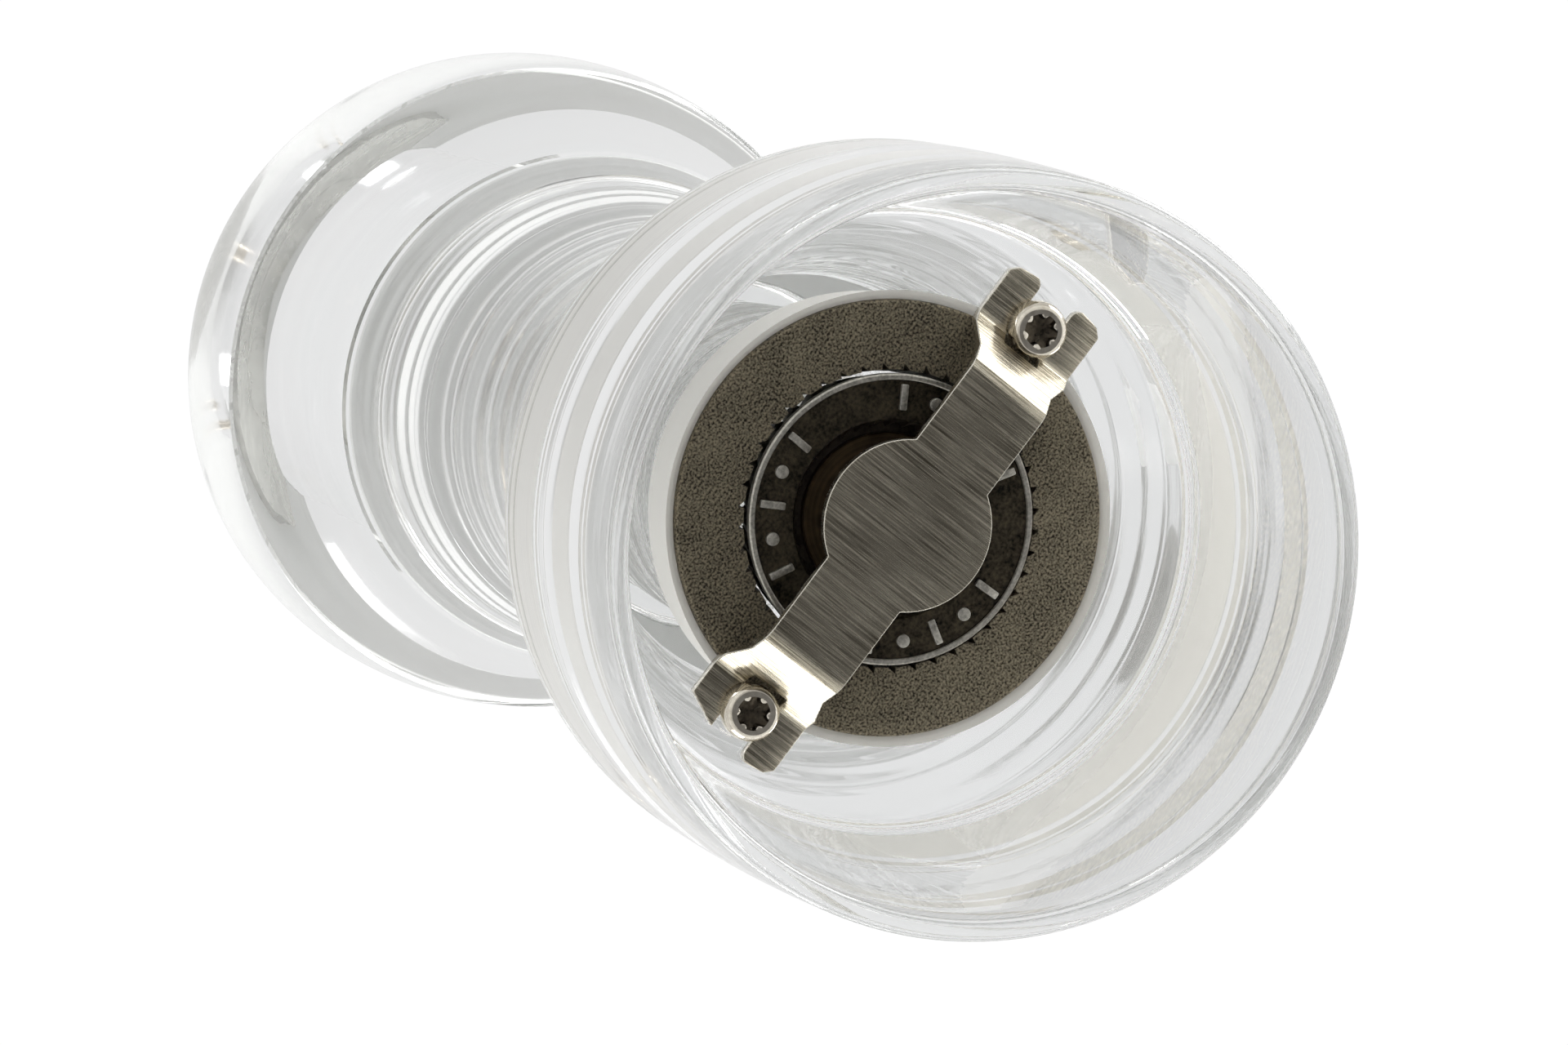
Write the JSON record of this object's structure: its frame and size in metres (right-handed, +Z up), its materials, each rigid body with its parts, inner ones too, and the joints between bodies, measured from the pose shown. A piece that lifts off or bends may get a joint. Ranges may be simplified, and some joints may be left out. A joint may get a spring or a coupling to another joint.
{
  "type": "pepper mill",
  "caption": "Clear waisted pepper mill: turning head drives a conical burr in a toothed ring, a strip bracket spans the foot recess and a knob sets the grind.",
  "frame": {"origin": "centre of the foot rim's resting plane, on the mill's axis", "axes": "+Z up the mill from the foot to the knob, +X along the retaining bracket, +Y across it"},
  "size_m": [0.0552, 0.0552, 0.1832],
  "materials": {
    "clear_acrylic": "turned and polished clear acrylic, left with fine tool rings in the bores",
    "sintered_steel": "pressed and sintered grey steel, grainy",
    "cast_burr_steel": "burr steel with a worn, lightly scuffed face",
    "bronze": "dull sintered bronze",
    "spring_steel": "drawn spring wire and strip",
    "bright_steel": "drawn stainless bar and washers",
    "white_nylon": "moulded natural nylon",
    "brushed_stainless": "stainless strip, brushed across its length",
    "nickel_plate": "bright nickel plate with a warm tone",
    "black_rubber": "moulded rubber ring",
    "brass": "turned brass",
    "polished_steel": "turned and polished stainless"
  },
  "bodies": {
    "mill_body": {"mill_body": "clear_acrylic", "stator_ring": "sintered_steel", "shaft_guide": "white_nylon", "spring_seat_upper": "bright_steel", "retaining_bracket": "brushed_stainless", "bracket_screws": "nickel_plate"},
    "slip_ring": {"slip_ring": "white_nylon"},
    "head": {"head": "clear_acrylic", "head_bush": "bright_steel", "drive_plate": "brushed_stainless", "drive_plate_screws": "nickel_plate", "knob_washer": "white_nylon"},
    "knob": {"knob": "polished_steel", "knob_insert": "brass", "knob_o_ring": "black_rubber"},
    "thrust_seat": {"spring_seat_lower": "bright_steel", "spring": "spring_steel"},
    "spindle": {"shaft": "bright_steel", "rotor_burr": "cast_burr_steel", "rotor_washer": "bronze", "shaft_clip": "spring_steel"}
  },
  "joints": [
    {"name": "head_turn", "type": "hinge", "parent": "mill_body", "child": "slip_ring", "pos_m": [0, 0, 0.121], "axis": [0, 0, 1], "continuous": true},
    {"name": "head_lift", "type": "slide", "parent": "slip_ring", "child": "head", "axis": [0, 0, 1], "range_m": [0, 0.062]},
    {"name": "knob_turn", "type": "hinge", "parent": "head", "child": "knob", "pos_m": [0, 0, 0.172], "axis": [0, 0, 1], "range_deg": [-360, 720]},
    {"name": "burr_gap", "type": "slide", "parent": "mill_body", "child": "thrust_seat", "axis": [0, 0, 1], "range_m": [-0.0014, 0.0007], "deforming": ["spring"]},
    {"name": "spindle_turn", "type": "hinge", "parent": "thrust_seat", "child": "spindle", "pos_m": [0, 0, 0.04], "axis": [0, 0, 1], "continuous": true}
  ],
  "couplings": [
    {"joint": "knob_turn", "follows": "burr_gap", "rad_per_m": -8975},
    {"joint": "spindle_turn", "follows": "head_turn", "ratio": 1}
  ]
}
